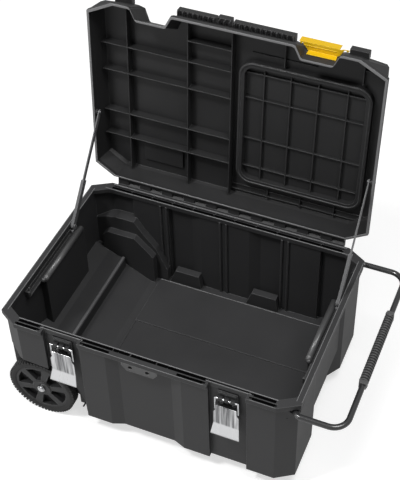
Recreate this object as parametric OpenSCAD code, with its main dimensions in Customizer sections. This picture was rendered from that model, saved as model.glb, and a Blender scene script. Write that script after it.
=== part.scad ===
// Rolling tool case with its lid standing open.
// Millimetres. X runs right, Y runs back, Z runs up. The origin is the middle
// of the tub's flat underside; the wheels and feet reach below it.
// The lid is drawn shut and then turned open about its hinge.

/* [Tub] */
// Half length of the tub over its outer walls
tub_half_x = 343; // [335:1:345]
// Half depth of the tub over its proud panels
tub_half_y = 239; // [237:1:240]
// Height of the rim above the tub's underside
rim_z = 262; // [256:1:268]
// Thickness of the moulded walls
wall = 4; // [3:0.5:4]
// Thickness of the floor
floor_t = 6; // [4:0.5:8]
// Height of the underside above its flat base panel
base_relief = 1.5; // [1:0.5:2]
// Half length of the base panel
base_half_x = 175; // [150:5:180]
// Half depth of the base panel
base_half_y = 150; // [120:5:160]
// Run of the corner chamfer along X
corner_x = 41; // [36:1:46]
// Run of the corner chamfer along Y
corner_y = 26; // [22:1:30]
// Depth of the recesses between the proud front panels
panel_step = 10; // [8:1:12]
// Half width of the middle front recess
mid_half = 62; // [50:1:70]
// Run of the slanted side of the middle recess
mid_slant = 27; // [20:1:30]
// Near edge of the latch recess, from the middle
latch_near = 151; // [145:1:155]
// Far edge of the latch recess, from the middle
latch_far = 238; // [234:1:244]
// Depth of the recess in each end wall
side_step = 21; // [16:1:24]
// Front start of the end recess along Y
side_front = -102; // [-112:1:-96]
// Run of the long front slope of the end recess
side_slope = 80; // [70:1:90]
// Back end of the end recess along Y
side_back = 105; // [98:1:112]
// Run of the short back slope of the end recess
side_slope_back = 33; // [26:1:38]
// Height of the shelf over the end recess
shelf_z = 226; // [222:1:228]

/* [Rim] */
// Half length of the rim flange
rim_half_x = 350; // [350:1:352]
// Half depth of the rim flange
rim_half_y = 245; // [244:1:245]
// Height of the rim flange
rim_h = 12; // [10:1:13]
// Half length of the mouth
mouth_half_x = 336; // [336:1:338]
// Half depth of the mouth
mouth_half_y = 222; // [218:1:224]
// Depth of the grooves and pockets in the rim
groove_deep = 8; // [5:1:8]
// Width of the long groove in the rim
groove_w = 7; // [5:0.5:8]
// Width of the four slot pockets
slot_w = 6; // [4:0.5:6]
// Thickness of the webs that cross the groove
web_t = 2; // [1.5:0.5:3]
// Width of the padlock tab
tab_w = 84; // [70:1:90]
// Drop of the padlock tab below the rim
tab_drop = 24; // [18:1:26]
// Diameter of the padlock holes
tab_hole_d = 10; // [8:0.5:11]
// Spacing of the padlock holes
tab_pitch = 40; // [34:1:46]

/* [Wheel end] */
// Distance of the wheel axis from the middle, along X
wheel_x = 268; // [264:1:270]
// Height of the wheel axis above the tub's underside
wheel_z = 44; // [42:1:45]
// Radius of the wheel over its tread
wheel_r = 83; // [80:1:84]
// Width of the tyre
tyre_w = 25; // [20:1:25]
// Outer side of the tyre, from the middle along Y
tyre_out = 238; // [236:1:238]
// Radius of the tyre's seat on the hub
seat_r = 66; // [62:1:70]
// Height of the tread blocks
tread_h = 2; // [1.5:0.5:3]
// Number of tread blocks round the tyre
tread_n = 44; // [30:2:48]
// Number of hub spokes
spoke_n = 6; // [5:1:8]
// Radius of the axle
axle_r = 6; // [5:0.5:7]
// Height of the sloped floor at the end wall
ramp_rise = 81; // [70:1:90]
// Length of the sloped floor along X
ramp_run = 153; // [145:1:158]
// Height of the wheel housing inside the tub
arch_z = 185; // [180:1:195]
// Inner face of the wheel housing, from the middle along Y
arch_y = 207; // [205:1:212]
// Height of the axle housing inside the tub
boss_z = 144; // [138:1:150]
// Inner face of the axle housing, from the middle along Y
boss_y = 190; // [186:1:194]

/* [Feet] */
// Near edge of the feet along X
foot_x = 224; // [200:1:230]
// Width of a foot along X
foot_w = 66; // [50:1:70]
// Inner side of a foot, from the middle along Y
foot_y = 118; // [100:1:120]
// Length of a foot along Y
foot_l = 60; // [45:1:62]

/* [Lid] */
// Half length of the lid
lid_half_x = 346; // [345:1:348]
// Depth of the lid shell above its lip
lid_h = 58; // [54:1:62]
// Thickness of the lid walls
lid_wall = 3.5; // [3:0.5:4]
// Lid opening angle from shut to the pose shown
lid_open = 94.5; // [90:0.5:96]
// Height of the lip's underside when the lid is shut
lid_gap = 0.5; // [0.4:0.1:1]
// Thickness of the lid ribs
rib_t = 2.5; // [2:0.5:3]
// Depth of the lid ribs below the roof
rib_deep = 22; // [14:1:24]
// Depth of the raised bead of the stiffening frame
bead_deep = 10; // [6:1:12]
// Width of the raised bead of the stiffening frame
bead_w = 7; // [5:1:9]

/* [Hinge] */
// Radius of a hinge knuckle
knuckle_r = 7; // [6:0.5:7.5]
// Radius of the hinge pin
pin_r = 2.5; // [2:0.25:3]
// Number of knuckles on the tub
knuckle_n = 10; // [8:1:12]
// Gap between two knuckles
knuckle_gap = 0.6; // [0.6:0.1:1]

/* [Stays] */
// Distance of the stays from the middle plane
stay_x = 331; // [331:0.5:331.5]
// Width of the upper strap
strap_w = 12; // [9:1:13]
// Thickness of the upper strap
strap_t = 2.6; // [2:0.2:3]
// Width of the lower sleeve
sleeve_w = 16; // [14.5:0.5:16.5]
// Thickness of the lower sleeve
sleeve_t = 6.6; // [5.6:0.2:6.6]
// Length of the lower sleeve from its pivot
sleeve_l = 112; // [90:1:118]
// Radius of the half round guide rail
rail_r = 6.5; // [5:0.5:6.5]

/* [Latches] */
// Distance of each latch from the middle
latch_x = 194; // [192:1:197]
// Radius of the latch wire
wire_r = 2.2; // [1.8:0.1:2.4]
// Length of the latch wire's arms
bail_l = 36; // [30:1:38]
// Width of the latch plate's lower part
plate_w = 60; // [52:1:62]
// Width of the latch plate's upper part
plate_top_w = 44; // [38:1:45]
// Thickness of the latch plate
plate_t = 1.6; // [1.2:0.1:2]

/* [Tow handle] */
// Height of the tow handle
tow_z = 238; // [236:1:239]
// Radius of the tow tube
tube_r = 6.5; // [5.5:0.5:6.5]
// Distance of the tow handle's bar from the middle
tow_x = 447; // [430:1:460]
// Distance of the tow handle's arms from the middle, along Y
tow_y = 230; // [230:1:231]
// Bend radius of the outer corners
tow_bend = 35; // [28:1:40]
// Half length of the grip
grip_half = 108; // [90:1:112]
// Radius of the grip
grip_r = 10.5; // [9:0.5:10.5]

/* [Hidden] */

$fn = 48;
seat = 0.3;
run_fit = 0.05;
big = 1200;

ramp_slope = ramp_rise / ramp_run;
ramp_x = tub_half_x - ramp_run;
shelf_top = shelf_z + wall;
recess_y = tub_half_y - panel_step;

// Sideways shift of a corner when a wall line moves inwards by one
corner_kx = tan(atan2(corner_y, corner_x) / 2);
corner_ky = tan((90 - atan2(corner_y, corner_x)) / 2);
mid_k = tan(atan2(panel_step, mid_slant) / 2);
front_k = tan(atan2(side_step, side_slope) / 2);
back_k = tan(atan2(side_step, side_slope_back) / 2);

hinge_y = 255;
hinge_z = rim_z + 16;
lip_z = rim_z + lid_gap;
lid_back = 244.3;
lid_front = -233.7;
lip_zero = 239.3;
lid_top = lip_z + lid_h;

tyre_in = tyre_out - tyre_w;

// Plan of half a front side, from the middle to the corner; t moves it inwards
function front_half(t) = [
  [mid_half + mid_k * t, -(recess_y - t)],
  [mid_half + mid_slant + mid_k * t, -(tub_half_y - t)],
  [latch_near - t, -(tub_half_y - t)],
  [latch_near - t, -(recess_y - t)],
  [latch_far + t, -(recess_y - t)],
  [latch_far + t, -(tub_half_y - t)],
  [tub_half_x - corner_x - corner_kx * t, -(tub_half_y - t)],
  [tub_half_x - t, -(tub_half_y - corner_y - corner_ky * t)]];

// Plan of the right end's recess, from front to back
function end_recess(t) = [
  [tub_half_x - t, side_front - front_k * t],
  [tub_half_x - side_step - t, side_front + side_slope - front_k * t],
  [tub_half_x - side_step - t, side_back - side_slope_back + back_k * t],
  [tub_half_x - t, side_back + back_k * t]];

function flip_x(p) = [for (i = [len(p) - 1:-1:0]) [-p[i][0], p[i][1]]];
function flip_y(p) = [for (i = [len(p) - 1:-1:0]) [p[i][0], -p[i][1]]];

// Whole plan of the tub, with or without the end recesses
function tub_plan(t, recessed) = let (
    right = concat(front_half(t), recessed ? end_recess(t) : [], flip_y(front_half(t))))
  concat(right, flip_x(right));

// Plan of a plain rectangle with chamfered corners
function frame_plan(hx, hy, cx, cy) = [
  [hx - cx, -hy], [hx, -hy + cy], [hx, hy - cy], [hx - cx, hy],
  [-hx + cx, hy], [-hx, hy - cy], [-hx, -hy + cy], [-hx + cx, -hy]];

module mirror_x() {
  children();
  mirror([1, 0, 0]) children();
}

module mirror_y() {
  children();
  mirror([0, 1, 0]) children();
}

// Box given by its low and high corners
module span(low, high) {
  translate(low) cube(high - low);
}

// Prism along Y from y0 to y1; its outline is given in X and Z
module prism_y(y0, y1, points) {
  translate([0, y1, 0]) rotate([90, 0, 0]) linear_extrude(y1 - y0) polygon(points);
}

// Prism along X from x0 to x1; its outline is given in Y and Z
module prism_x(x0, x1, points) {
  translate([x0, 0, 0]) rotate([90, 0, 90]) linear_extrude(x1 - x0) polygon(points);
}

module rod_x(x0, x1, y, z, r) {
  translate([x0, y, z]) rotate([0, 90, 0]) cylinder(h = x1 - x0, r = r);
}

module rod_y(y0, y1, x, z, r) {
  translate([x, y0, z]) rotate([-90, 0, 0]) cylinder(h = y1 - y0, r = r);
}

// Moves what is drawn for a shut lid to the open pose
module lid_open_pose() {
  translate([0, hinge_y, hinge_z])
    rotate([-lid_open, 0, 0])
      translate([0, -hinge_y, -hinge_z]) children();
}

// Tub

// Outlines in X and Z: the wheel housing, the pocket behind it, the axle
// housing, its pocket and the opening below the corner panels
arch_shape = [[-tub_half_x - 2, -1], [-tub_half_x - 2, arch_z - 19], [-310, arch_z - 5],
  [-283, arch_z], [-236, arch_z], [-212, arch_z - 35], [-180, arch_z - 75], [-150, 46], [-150, -1]];
arch_pocket = [[-tub_half_x - 2, -1], [-tub_half_x - 2, arch_z - 26], [-309, arch_z - 9],
  [-283, arch_z - wall], [-238, arch_z - wall], [-216, arch_z - 37], [-184, arch_z - 77],
  [-154, 45], [-154, -1]];
boss_left = -317;
boss_right = -180;
boss_shape = [[boss_left, -1], [boss_left, boss_z - 14], [boss_left + 14, boss_z],
  [-230, boss_z], [-205, boss_z - 24], [boss_right, boss_z - 50], [boss_right, -1]];
boss_pocket = [[boss_left + wall, -1], [boss_left + wall, boss_z - 16],
  [boss_left + 16, boss_z - wall], [-231, boss_z - wall], [-207, boss_z - 27],
  [boss_right - wall, boss_z - 52], [boss_right - wall, -1]];
skirt_cut = [[-360, 158], [-341, 149], [-314, 129], [-304, 135], [-242, 131], [-215, 129],
  [-188, 100], [-160, 44], [-158, -1], [-360, -1]];

module tub_outer() {
  difference() {
    tub_body();
    difference() {
      span([-big, -big, -1], [big, big, base_relief]);
      span([-base_half_x, -base_half_y, -2], [base_half_x, base_half_y, base_relief + 1]);
    }
  }
}

module tub_body() {
  intersection() {
    union() {
      linear_extrude(shelf_z) polygon(tub_plan(0, true));
      translate([0, 0, shelf_z]) linear_extrude(rim_z - rim_h - shelf_z + 1)
        polygon(tub_plan(0, false));
    }
    prism_y(-big, big, [[-big, ramp_slope * (big - ramp_x)], [-ramp_x, 0], [big, 0],
      [big, big], [-big, big]]);
  }
}

module tub_hollow() {
  intersection() {
    union() {
      linear_extrude(shelf_top) polygon(tub_plan(wall, true));
      translate([0, 0, shelf_top]) linear_extrude(rim_z) polygon(tub_plan(wall, false));
    }
    prism_y(-big, big, [[-big, ramp_slope * (big - ramp_x) + floor_t + 1],
      [-ramp_x, floor_t + 1], [-ramp_x + 12, floor_t], [big, floor_t], [big, big], [-big, big]]);
  }
}

// Blocks that the wheel housings leave standing in the hollow
module housing_blocks() {
  mirror_y() {
    prism_y(-tub_half_y - 1, -arch_y, arch_shape);
    prism_y(-arch_y - 1, -boss_y, boss_shape);
  }
}

module housing_pockets() {
  mirror_y() {
    intersection() {
      prism_y(-tub_half_y, -arch_y - wall, arch_pocket);
      translate([0, 0, -1]) linear_extrude(rim_z) polygon(tub_plan(wall, true));
    }
    prism_y(-tub_half_y - 1, -arch_y - wall, skirt_cut);
    prism_y(-arch_y - wall - 1, -boss_y - wall, boss_pocket);
  }
}

module rim_ring() {
  translate([0, 0, rim_z - rim_h]) linear_extrude(rim_h) difference() {
    polygon(frame_plan(rim_half_x, rim_half_y, 45, 27));
    polygon(frame_plan(mouth_half_x, mouth_half_y, 34, 20));
  }
}

// Long groove, its webs and the slot pockets of the front rim
module rim_cuts() {
  g0 = mouth_half_y + 3;
  low = rim_z - groove_deep;
  top = rim_z + 1;
  webs = [-148, -70, -55, -30, 30, 60, 148];
  for (i = [0:len(webs) - 2])
    span([webs[i] + web_t / 2, -g0 - groove_w, low], [webs[i + 1] - web_t / 2, -g0, top]);
  mirror_x() {
    span([latch_near - 2, -g0 - 4, low], [latch_far + 2, -g0, top]);
    span([latch_far + 5, -g0 - groove_w, low], [300, -g0, top]);
    span([latch_far + 5, -tub_half_y - 2, low], [304, -tub_half_y - 2 + slot_w, top]);
    span([85, -tub_half_y - 2, low], [latch_near - 5, -tub_half_y - 2 + slot_w, top]);
    span([latch_near, -rim_half_y - 1, rim_z - rim_h - 1], [latch_far, -recess_y - 3, top]);
  }
  for (i = [-5:5])
    span([i * 54 - 26, g0, low], [i * 54 + 26, g0 + groove_w, top]);
  for (i = [-5:5])
    span([i * 54 - 26, g0 + groove_w + 2, low], [i * 54 + 26, g0 + groove_w + 7, top]);
}

// Rib pairs and foot pads of the back wall
module back_wall_ribs() {
  y1 = tub_half_y - wall;
  for (x = [-160, -3, 155])
    for (side = [-1, 1])
      span([x + side * 8 - 2, y1 - panel_step - 4, floor_t - 1],
        [x + side * 8 + 2, y1 + 1, rim_z - rim_h + 1]);
  for (x = [-103, 103])
    prism_y(y1 - panel_step - 16, y1 - panel_step + 2,
      [[x - 42, floor_t - 1], [x + 43, floor_t - 1], [x + 37, 50], [x - 26, 50]]);
}

// Height of the sloped underside at a distance from the middle
function ramp_z(x) = ramp_slope * (x - ramp_x);

// Low step on the floor and the cross ledge on the slope
module floor_steps() {
  span([-ramp_x + 20, -tub_half_y + panel_step + 1, floor_t - 1],
    [tub_half_x - side_step - 2, 55, floor_t + 2]);
  intersection() {
    prism_y(-boss_y - 2, boss_y + 2, [[-tub_half_x + 1, ramp_z(tub_half_x - 1) + 3],
      [-tub_half_x + 1, ramp_z(tub_half_x - 1) + floor_t + 9], [-268, ramp_z(268) + floor_t + 13],
      [-264, ramp_z(264) + floor_t + 13], [-264, ramp_z(264) + 3]]);
    linear_extrude(rim_z) polygon(tub_plan(wall - 1, true));
  }
}

knuckle_span = 580;
knuckle_pitch = knuckle_span / knuckle_n;
knuckle_w = knuckle_pitch / 2 - knuckle_gap;

// Knuckles of one leaf; shift picks the leaf
module knuckles(shift) {
  for (i = [0:knuckle_n - 1])
    translate([-knuckle_span / 2 + (i + shift) * knuckle_pitch + knuckle_gap / 2, 0, 0])
      children();
}

module tub_knuckles() {
  knuckles(0) {
    rod_x(0, knuckle_w, hinge_y, hinge_z, knuckle_r);
    prism_x(0, knuckle_w, [[rim_half_y - 2, rim_z - rim_h + 1], [rim_half_y + 6, rim_z - rim_h + 1],
      [hinge_y + knuckle_r, hinge_z - 9], [hinge_y + knuckle_r, hinge_z],
      [hinge_y - knuckle_r, hinge_z], [rim_half_y + 1, rim_z], [rim_half_y - 2, rim_z]]);
  }
}

spigot_x = 338;
spigot_in = -194;
spigot_face = -216;

module tow_bosses() {
  mirror_y() intersection() {
    rod_y(spigot_face, spigot_in + 6, spigot_x, tow_z, 11);
    span([0, -big, 0], [rim_half_x - 1, big, rim_z - rim_h + 1]);
  }
}

module tow_bores() {
  mirror_y() {
    rod_y(spigot_face - 30, spigot_in - seat, spigot_x, tow_z, tube_r + run_fit);
    rod_y(spigot_face - 30, spigot_face, spigot_x, tow_z, 11.5);
  }
}

// Ribbed sockets that carry the fixed axles
module axle_sockets() {
  mirror_y() {
    rod_y(-tyre_in + 1, -boss_y - 1, -wheel_x, wheel_z, 15);
    rod_y(-boss_y - wall - 5, -boss_y - 1, -wheel_x, wheel_z, 22);
    for (a = [0:60:300])
      translate([-wheel_x, 0, wheel_z]) rotate([0, a, 0])
        span([13, -tyre_in + 5, -1.5], [20, -boss_y - 2, 1.5]);
  }
}

module tub() {
  color([0.13, 0.13, 0.135]) difference() {
    union() {
      difference() {
        tub_outer();
        difference() {
          tub_hollow();
          housing_blocks();
        }
      }
      rim_ring();
      back_wall_ribs();
      floor_steps();
      axle_sockets();
      tub_knuckles();
      tow_bosses();
    }
    difference() {
      housing_pockets();
      axle_sockets();
    }
    mirror_y() rod_y(-tyre_in, -boss_y - wall + 1, -wheel_x, wheel_z, axle_r);
    rim_cuts();
    tow_bores();
    rod_x(-big, big, hinge_y, hinge_z, pin_r + run_fit);
    mirror_y() translate([324, -227, 214]) sphere(3);
  }
}

// Feet under the handle end, as tall as the wheels reach below the tub
module feet() {
  h = wheel_r - wheel_z;
  color([0.1, 0.1, 0.1]) mirror_y() difference() {
    prism_y(-foot_y - foot_l, -foot_y, [[foot_x, base_relief], [foot_x + foot_w, base_relief],
      [foot_x + foot_w, -h + 12],
      [foot_x + foot_w - 9, -h], [foot_x + 9, -h], [foot_x, -h + 12]]);
    span([foot_x + wall, -foot_y - foot_l + wall, -h + 16],
      [foot_x + foot_w / 2 - wall / 2, -foot_y - wall, base_relief + 1]);
    span([foot_x + foot_w / 2 + wall / 2, -foot_y - foot_l + wall, -h + 16],
      [foot_x + foot_w - wall, -foot_y - wall, base_relief + 1]);
  }
}

// Tab with two holes that hangs from the front rim
module padlock_tab() {
  top = rim_z - rim_h;
  color([0.17, 0.17, 0.175]) difference() {
    prism_y(-rim_half_y, -recess_y - 4, [[-tab_w / 2 - 4, top], [-tab_w / 2 - 4, top - 8],
      [-tab_w / 2 + 8, top - tab_drop + 2], [tab_w / 2 - 14, top - tab_drop + 2],
      [tab_w / 2 - 4, top - 8], [tab_w / 2 - 4, top]]);
    for (side = [-1, 1])
      rod_y(-big, big, -5 + side * tab_pitch / 2, top - 10, tab_hole_d / 2);
  }
}

module hinge_pin() {
  color([0.55, 0.55, 0.56])
    rod_x(-knuckle_span / 2 - 3, knuckle_span / 2 + 1, hinge_y, hinge_z, pin_r);
}

// Lid stays' tracks

track_front = -136;
track_back = 98;
rail_front = -85;
rail_back = 95;
rail_x = 320.4;
rail_z = shelf_top + rail_r;

module track() {
  color([0.2, 0.2, 0.205]) {
    difference() {
      union() {
        span([rail_x - rail_r, rail_front, shelf_top], [tub_half_x - wall, rail_back, shelf_top + 4]);
        span([tub_half_x - wall - 4, track_front, shelf_top], [tub_half_x - wall, track_back, 246]);
        span([rail_x + 5, track_front, shelf_top], [tub_half_x - wall - 1, rail_front + 1, shelf_top + 4]);
        rod_y(rail_front, rail_back, rail_x, rail_z, rail_r);
        translate([rail_x, rail_front, rail_z]) sphere(rail_r);
        span([rail_x - rail_r, rail_front, shelf_top], [rail_x + rail_r, rail_back, rail_z]);
        span([rail_x + 5, track_front - 4, shelf_top], [tub_half_x - wall, track_front, 246]);
      }
      for (y = [track_front + 12, track_back - 14])
        rod_x(tub_half_x - wall - 6, tub_half_x, y, 241.5, 2);
    }
  }
}

module track_right() {
  track();
}

module track_left() {
  mirror([1, 0, 0]) track();
}

// Rivets that hold the tracks to the end walls
module track_rivets() {
  color([0.6, 0.6, 0.61]) mirror_x() for (y = [track_front + 12, track_back - 14]) {
    rod_x(tub_half_x - wall - 4, tub_half_x - wall, y, 241.5, 2);
    rod_x(tub_half_x - wall - 4.6, tub_half_x - wall - 4, y, 241.5, 3.2);
  }
}

// Wheels

module axles() {
  color([0.62, 0.62, 0.63]) mirror_y() {
    rod_y(-tyre_out - 3, -boss_y - wall + 1, -wheel_x, wheel_z, axle_r);
  }
}

module axle_caps() {
  color([0.78, 0.78, 0.79]) mirror_y() difference() {
    union() {
      rod_y(-tyre_out - 2, -tyre_out + 2, -wheel_x, wheel_z, axle_r + 3);
      rod_y(-tyre_out - 4.5, -tyre_out - 2, -wheel_x, wheel_z, axle_r + 1);
    }
    rod_y(-tyre_out - 3, 0, -wheel_x, wheel_z, axle_r);
  }
}

// Spoked hub, drawn for the front wheel
module hub() {
  color([0.11, 0.11, 0.115]) difference() {
    union() {
      rod_y(-tyre_out + 3, -tyre_in - 3, -wheel_x, wheel_z, seat_r);
      rod_y(-tyre_out + 1, -tyre_in - 1, -wheel_x, wheel_z, 22);
    }
    translate([-wheel_x, 0, wheel_z]) for (i = [0:spoke_n - 1])
      rotate([0, i * 360 / spoke_n + 15, 0]) {
        prism_y(-tyre_out - 1, -tyre_in - 9,
          [[24, -6], [seat_r - 9, -22], [seat_r - 5, 0], [seat_r - 9, 22], [24, 6]]);
        prism_y(-tyre_in - 6, -tyre_in + 1,
          [[28, -7], [seat_r - 10, -20], [seat_r - 7, 0], [seat_r - 10, 20], [28, 7]]);
      }
    rod_y(-tyre_out - 1, -tyre_in + 1, -wheel_x, wheel_z, axle_r + run_fit);
    rod_y(-tyre_out - 1, -tyre_out + 3, -wheel_x, wheel_z, axle_r + 4);
  }
}

// Tyre with blocks on its shoulders, drawn for the front wheel
module tyre() {
  crown = wheel_r - tread_h;
  half = tyre_w / 2;
  block_w = 6.4;
  color([0.07, 0.07, 0.07]) translate([-wheel_x, -tyre_out + half, wheel_z]) rotate([90, 0, 0])
    difference() {
      union() {
        rotate_extrude() polygon([[seat_r, -half + 3], [seat_r + 8, -half], [crown - 5, -half],
          [crown - 1, -half + 5], [crown, 0], [crown - 1, half - 5], [crown - 5, half],
          [seat_r + 8, half], [seat_r, half - 3]]);
        for (i = [0:tread_n - 1])
          rotate([0, 0, i * 360 / tread_n + (i % 2) * 2])
            translate([crown - 7, -block_w / 2, i % 2 == 0 ? -half + 1 : -4])
              cube([7 + tread_h, block_w, half + 3]);
      }
      translate([0, 0, -half]) cylinder(h = tyre_w, r = seat_r);
    }
}

module hub_front() {
  hub();
}

module hub_rear() {
  mirror([0, 1, 0]) hub();
}

module tyre_front() {
  tyre();
}

module tyre_rear() {
  mirror([0, 1, 0]) tyre();
}

// Latches

latch_pivot_y = -240.5;
latch_pivot_z = 228;
plate_y = -243;
arm_x = 26;

module latch_base() {
  color([0.1, 0.1, 0.105]) translate([latch_x, 0, 0]) difference() {
    union() {
      span([-23, -recess_y - 4, 198], [23, -recess_y, 246]);
      for (x = [-19, -4.5, 10]) {
        rod_x(x, x + 9, latch_pivot_y, latch_pivot_z, 4.6);
        span([x, latch_pivot_y, latch_pivot_z - 4.6], [x + 9, -recess_y - 3, latch_pivot_z + 4.6]);
      }
      span([-20, -recess_y - 7, 238], [20, -recess_y - 3, 244]);
    }
    rod_x(-30, 30, latch_pivot_y, latch_pivot_z, wire_r + run_fit);
    for (x = [-14, 14])
      rod_y(-big, big, x, 208, 2.2);
  }
}

module latch_base_left() {
  mirror([1, 0, 0]) latch_base();
}

module latch_base_right() {
  latch_base();
}

module latch_screws() {
  color([0.5, 0.5, 0.51]) mirror_x() for (x = [-14, 14]) {
    rod_y(-recess_y - 4, -recess_y, latch_x + x, 208, 2.2);
    rod_y(-recess_y - 6, -recess_y - 4, latch_x + x, 208, 4);
  }
}

// Wire loop: pivot bar, two arms and two inturned ends
module bail() {
  low = latch_pivot_z - bail_l;
  color([0.72, 0.72, 0.73]) translate([latch_x, latch_pivot_y, 0]) {
    rod_x(-arm_x, arm_x, 0, latch_pivot_z, wire_r);
    for (side = [-1, 1]) {
      translate([side * arm_x, 0, low]) cylinder(h = bail_l, r = wire_r);
      translate([side * arm_x, 0, latch_pivot_z]) sphere(wire_r);
      translate([side * arm_x, 0, low]) sphere(wire_r);
    }
    rod_x(-arm_x, -arm_x + 8, 0, low, wire_r);
    rod_x(arm_x - 8, arm_x, 0, low, wire_r);
  }
}

module bail_left() {
  mirror([1, 0, 0]) bail();
}

module bail_right() {
  bail();
}

// Steel plate with side ears, pressed ribs and a flared lip
module latch_plate() {
  low = latch_pivot_z - bail_l;
  half = plate_w / 2;
  top_half = plate_top_w / 2;
  front = plate_y - plate_t;
  color([0.8, 0.8, 0.81]) translate([latch_x, 0, 0]) difference() {
    union() {
      prism_y(front, plate_y, [[-half, 146], [half, 146], [half, low - 8], [top_half, low - 3],
        [top_half, 217], [-top_half, 217], [-top_half, low - 3], [-half, low - 8]]);
      prism_x(-half - 2, half + 2, [[plate_y, 146], [-252.4, 119], [-254, 119], [front, 146]]);
      for (x = [-13, 0, 13])
        translate([x, front, 150]) cylinder(h = 55, r = 1.6);
      for (side = [-1, 1])
        span([side * (top_half - 0.8) - 0.8, front, low - 3],
          [side * (top_half - 0.8) + 0.8, latch_pivot_y + 4, low + 5]);
      for (x = [-7, 0, 7])
        prism_x(x - 1.2, x + 1.2, [[-250, 124], [-255.2, 124], [-247, 143], [-243, 143]]);
    }
    rod_x(-half, half, latch_pivot_y, low, wire_r + run_fit);
    for (side = [-1, 1])
      rod_x(side * 24 - 2, side * 24 + 2, latch_pivot_y, low, wire_r + 0.5);
  }
}

module latch_plate_left() {
  mirror([1, 0, 0]) latch_plate();
}

module latch_plate_right() {
  latch_plate();
}

// Lid, drawn shut

notch_near = 144;
notch_far = 244;
notch_in_near = 161;
notch_in_far = 227;
notch_y = lip_zero - 448;

function lid_half(t) = let (k = tan(atan2(lip_zero - 448 - lid_front, 17) / 2)) [
  [notch_near - k * t, lid_front + t],
  [notch_in_near - k * t, notch_y + t],
  [notch_in_far + k * t, notch_y + t],
  [notch_far + k * t, lid_front + t],
  [lid_half_x - 49 - t * tan(atan2(30, 49) / 2), lid_front + t],
  [lid_half_x - t, lid_front + 30 + t * tan((90 - atan2(30, 49)) / 2)],
  [lid_half_x - t, lid_back - 30 - t * tan((90 - atan2(30, 49)) / 2)],
  [lid_half_x - 49 - t * tan(atan2(30, 49) / 2), lid_back - t]];

function lid_plan(t) = concat(lid_half(t), flip_x(lid_half(t)));

// Shell of the lid: plan, with sloped shoulders round the roof
module lid_form(t, z0, top) {
  slope_h = 14;
  slope_w = 5;
  low = lid_front + t;
  high = lid_back - t;
  side = lid_half_x - t;
  intersection() {
    translate([0, 0, z0]) linear_extrude(top - z0) polygon(lid_plan(t));
    prism_y(-big, big, [[-side, z0], [side, z0], [side, top - slope_h], [side - slope_w, top],
      [-side + slope_w, top], [-side, top - slope_h]]);
    prism_x(-big, big, [[low, z0], [high, z0], [high, top - slope_h], [high - slope_w, top],
      [low + slope_w, top], [low, top - slope_h]]);
  }
}

// Rib along Y of the lid between two distances from the hinge side
module rib_up(x, v0, v1, deep) {
  span([x - rib_t / 2, lip_zero - v1, lid_top - lid_wall - deep],
    [x + rib_t / 2, lip_zero - v0, lid_top - lid_wall + 1]);
}

// Rib along X of the lid at one distance from the hinge side
module rib_across(v, x0, x1, deep) {
  span([x0, lip_zero - v - rib_t / 2, lid_top - lid_wall - deep],
    [x1, lip_zero - v + rib_t / 2, lid_top - lid_wall + 1]);
}

module lid_ribs() {
  for (x = [-258, -106, 0])
    rib_up(x, 0, 462, rib_deep);
  for (v = [122, 190, 300, 370])
    rib_across(v, -lid_half_x + 26, 0, rib_deep);
  rib_across(430, -106, 0, rib_deep);
  rib_across(445, 0, 130, rib_deep / 2);
  rib_across(405, 30, 180, 3);
  for (x = [68, 126, 193, 255])
    rib_up(x, 104, 402, bead_deep - 4);
  for (v = [220, 320, 365])
    rib_across(v, 28, 304, 4);
  for (x = [83, 164, 247])
    rib_up(x, 20, 62, 6);
  for (v = [30, 80])
    rib_across(v, 0, 300, 3);
  rib_up(108, 405, 462, 10);
  rib_up(284, 415, 458, 10);
  rib_across(426, 284, 330, 6);
  span([-235, lip_zero - 95, lid_top - lid_wall - 6], [-135, lip_zero - 35, lid_top - lid_wall + 1]);
}

// Raised rounded frame in the right half of the lid
module lid_bead() {
  x0 = 25;
  x1 = 306;
  y0 = lip_zero - 405;
  y1 = lip_zero - 100;
  r = 30;
  top = lid_top - lid_wall + 1;
  difference() {
    rounded_block(x0, x1, y0, y1, r, top - bead_deep, top);
    rounded_block(x0 + bead_w, x1 - bead_w, y0 + bead_w, y1 - bead_w, r - bead_w,
      top - bead_deep - 1, top + 1);
  }
}

module rounded_block(x0, x1, y0, y1, r, z0, z1) {
  span([x0 + r, y0, z0], [x1 - r, y1, z1]);
  span([x0, y0 + r, z0], [x1, y1 - r, z1]);
  for (x = [x0 + r, x1 - r])
    for (y = [y0 + r, y1 - r])
      translate([x, y, z0]) cylinder(h = z1 - z0, r = r);
}

// Outer ridge along the lid's front edge
module lid_ridge() {
  z0 = lip_z + 38;
  z1 = lip_z + 52;
  for (run = [[-142, -51, 5], [-47, -15, 9], [-11, 130, 5]])
    span([run[0], lid_front - run[2], z0], [run[1], lid_front + 1, z1]);
  span([250, lid_front - 5, z0], [292, lid_front + 1, z1]);
  span([-292, lid_front - 5, z0], [-250, lid_front + 1, z1]);
  for (x = [-138:12:126])
    span([x, lid_front - 4, lip_z + 26], [x + rib_t, lid_front + 1, z0 + 1]);
}

module lid_knuckles() {
  knuckles(0.5) {
    rod_x(0, knuckle_w, hinge_y, hinge_z, knuckle_r);
    prism_x(0, knuckle_w, [[lid_back - 1, hinge_z - 10], [lid_back, hinge_z - 10],
      [hinge_y, hinge_z - knuckle_r], [hinge_y, hinge_z + knuckle_r], [lid_back - 1, hinge_z + knuckle_r]]);
  }
}

strap_v = 171;
strap_y = lip_zero - strap_v;
strap_off = 8.1;

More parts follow.
